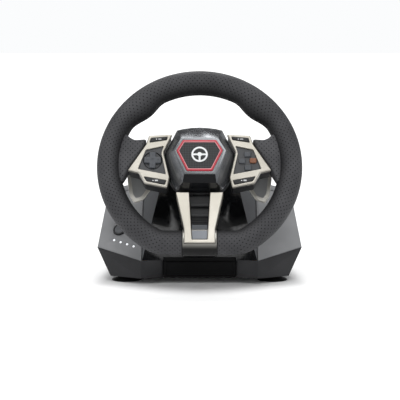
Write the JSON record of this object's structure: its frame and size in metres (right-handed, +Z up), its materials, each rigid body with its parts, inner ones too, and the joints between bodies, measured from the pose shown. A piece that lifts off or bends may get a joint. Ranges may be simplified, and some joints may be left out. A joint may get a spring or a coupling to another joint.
{
  "type": "racing wheel",
  "caption": "Desk-top gaming steering wheel: flat-bottomed rim with button pods and shift paddles on a tilted shaft, over a base with suction cups.",
  "frame": {"origin": "middle of the bounding box at desk level, under the base", "axes": "+Z up, -Y towards the driver, +X to the driver's right; the shaft lies in the YZ plane, 27 degrees above the horizontal towards the driver"},
  "size_m": [0.2868, 0.2456, 0.2918],
  "materials": {
    "leather": "soft grained wrap with fine perforation",
    "champagne": "satin champagne silver paint",
    "gunmetal": "satin gunmetal lacquer",
    "gloss": "gloss black",
    "black": "fine textured black",
    "dark": "fine textured dark grey",
    "grey": "fine textured mid grey",
    "light": "satin grey paint",
    "red": "gloss red",
    "lamp": "clear white light pipe",
    "steel": "turned",
    "brass": "hobbed",
    "board": "green solder mask",
    "rubber": "moulded",
    "orange": "fine textured muted orange"
  },
  "bodies": {
    "base": {"base_upper_shell": "dark", "base_lower_shell": "dark", "left_panel": "grey", "right_panel": "grey", "column_shroud": "black", "front_cover": "gloss", "rear_cover": "black", "port_block": "black", "base_board": "board", "gear_carrier": "grey", "front_bearing": "steel", "rear_bearing": "steel", "sensor_pot": "black", "left_motor": "steel", "right_motor": "steel", "front_left_cup": "rubber", "front_right_cup": "rubber", "rear_left_cup": "rubber", "rear_right_cup": "rubber", "led_light_pipe": "lamp", "centering_spring": "steel"},
    "wheel": {"wheel_frame": "steel", "rim_grip": "leather", "rim_clip": "champagne", "lower_spoke_bezel": "champagne", "lower_spoke_grille": "black", "spoke_lens": "light", "left_pod": "black", "right_pod": "black", "left_plate": "champagne", "right_plate": "champagne", "left_button_panel": "dark", "right_button_panel": "dark", "wheel_board": "board", "hub_cover": "gunmetal", "hub_lower_trim": "gloss", "badge_ring": "red", "badge_plate": "black", "hub_back": "black", "steering_shaft": "steel", "shaft_nut": "steel", "shaft_pinion": "brass", "left_paddle_pin": "steel", "right_paddle_pin": "steel"},
    "gear": {"sensor_gear": "brass"},
    "paddle_left": {"left_paddle": "light"},
    "paddle_right": {"right_paddle": "light"},
    "dpad_gimbal": {"dpad_pivot": "black"},
    "dpad_cross": {"dpad": "dark"},
    "face_top": {"face_button_top": "dark"},
    "face_left": {"face_button_left": "dark"},
    "face_right": {"face_button_right": "orange"},
    "face_bottom": {"face_button_bottom": "dark"},
    "left_upper": {"left_upper_button": "dark"},
    "left_lower": {"left_lower_button": "dark"},
    "right_upper": {"right_upper_button": "dark"},
    "right_lower": {"right_lower_button": "dark"},
    "mode": {"mode_button": "light"},
    "rumble_left": {"left_weight": "brass"},
    "rumble_right": {"right_weight": "brass"}
  },
  "joints": [
    {"name": "steering", "type": "hinge", "parent": "base", "child": "wheel", "pos_m": [0, -0.05176, 0.165], "axis": [0, -0.891, 0.454], "range_deg": [-450, 450], "stiffness_Nm_per_rad": 0.12, "deforming": ["centering_spring"]},
    {"name": "sensor_spin", "type": "hinge", "parent": "base", "child": "gear", "pos_m": [0, 0.01817, 0.06876], "axis": [0, -0.891, 0.454], "range_deg": [-130, 130]},
    {"name": "left_paddle_pull", "type": "hinge", "parent": "wheel", "child": "paddle_left", "pos_m": [-0.049, -0.0286, 0.1532], "axis": [0, 0.454, 0.891], "range_deg": [0, 6], "stiffness_Nm_per_rad": 1.2, "springref_deg": -2.86},
    {"name": "right_paddle_pull", "type": "hinge", "parent": "wheel", "child": "paddle_right", "pos_m": [0.049, -0.0286, 0.1532], "axis": [0, -0.454, -0.891], "range_deg": [0, 6], "stiffness_Nm_per_rad": 1.2, "springref_deg": -2.86},
    {"name": "dpad_up_down", "type": "hinge", "parent": "wheel", "child": "dpad_gimbal", "pos_m": [-0.0636, -0.05974, 0.16917], "axis": [1, 0, 0], "range_deg": [-4, 4], "stiffness_Nm_per_rad": 0.5},
    {"name": "dpad_left_right", "type": "hinge", "parent": "dpad_gimbal", "child": "dpad_cross", "pos_m": [-0.0636, -0.05974, 0.16917], "axis": [0, 0.454, 0.891], "range_deg": [-4, 4], "stiffness_Nm_per_rad": 0.5},
    {"name": "face_top_press", "type": "slide", "parent": "wheel", "child": "face_top", "axis": [0, 0.891, -0.454], "range_m": [0, 0.0015], "stiffness_N_per_m": 700, "springref_m": -0.0004},
    {"name": "face_left_press", "type": "slide", "parent": "wheel", "child": "face_left", "axis": [0, 0.891, -0.454], "range_m": [0, 0.0015], "stiffness_N_per_m": 700, "springref_m": -0.0004},
    {"name": "face_right_press", "type": "slide", "parent": "wheel", "child": "face_right", "axis": [0, 0.891, -0.454], "range_m": [0, 0.0015], "stiffness_N_per_m": 700, "springref_m": -0.0004},
    {"name": "face_bottom_press", "type": "slide", "parent": "wheel", "child": "face_bottom", "axis": [0, 0.891, -0.454], "range_m": [0, 0.0015], "stiffness_N_per_m": 700, "springref_m": -0.0004},
    {"name": "left_upper_press", "type": "slide", "parent": "wheel", "child": "left_upper", "axis": [0, 0.891, -0.454], "range_m": [0, 0.0012], "stiffness_N_per_m": 700, "springref_m": -0.0004},
    {"name": "left_lower_press", "type": "slide", "parent": "wheel", "child": "left_lower", "axis": [0, 0.891, -0.454], "range_m": [0, 0.0012], "stiffness_N_per_m": 700, "springref_m": -0.0004},
    {"name": "right_upper_press", "type": "slide", "parent": "wheel", "child": "right_upper", "axis": [0, 0.891, -0.454], "range_m": [0, 0.0012], "stiffness_N_per_m": 700, "springref_m": -0.0004},
    {"name": "right_lower_press", "type": "slide", "parent": "wheel", "child": "right_lower", "axis": [0, 0.891, -0.454], "range_m": [0, 0.0012], "stiffness_N_per_m": 700, "springref_m": -0.0004},
    {"name": "mode_press", "type": "slide", "parent": "base", "child": "mode", "axis": [0.1957, 0.7512, -0.6304], "range_m": [0, 0.0015], "stiffness_N_per_m": 700, "springref_m": -0.0004},
    {"name": "left_rumble", "type": "hinge", "parent": "base", "child": "rumble_left", "pos_m": [-0.084, 0.02824, 0.028], "axis": [1, 0, 0], "continuous": true},
    {"name": "right_rumble", "type": "hinge", "parent": "base", "child": "rumble_right", "pos_m": [0.084, 0.02824, 0.028], "axis": [1, 0, 0], "continuous": true}
  ],
  "couplings": [
    {"joint": "sensor_spin", "follows": "steering", "ratio": -0.28571}
  ]
}
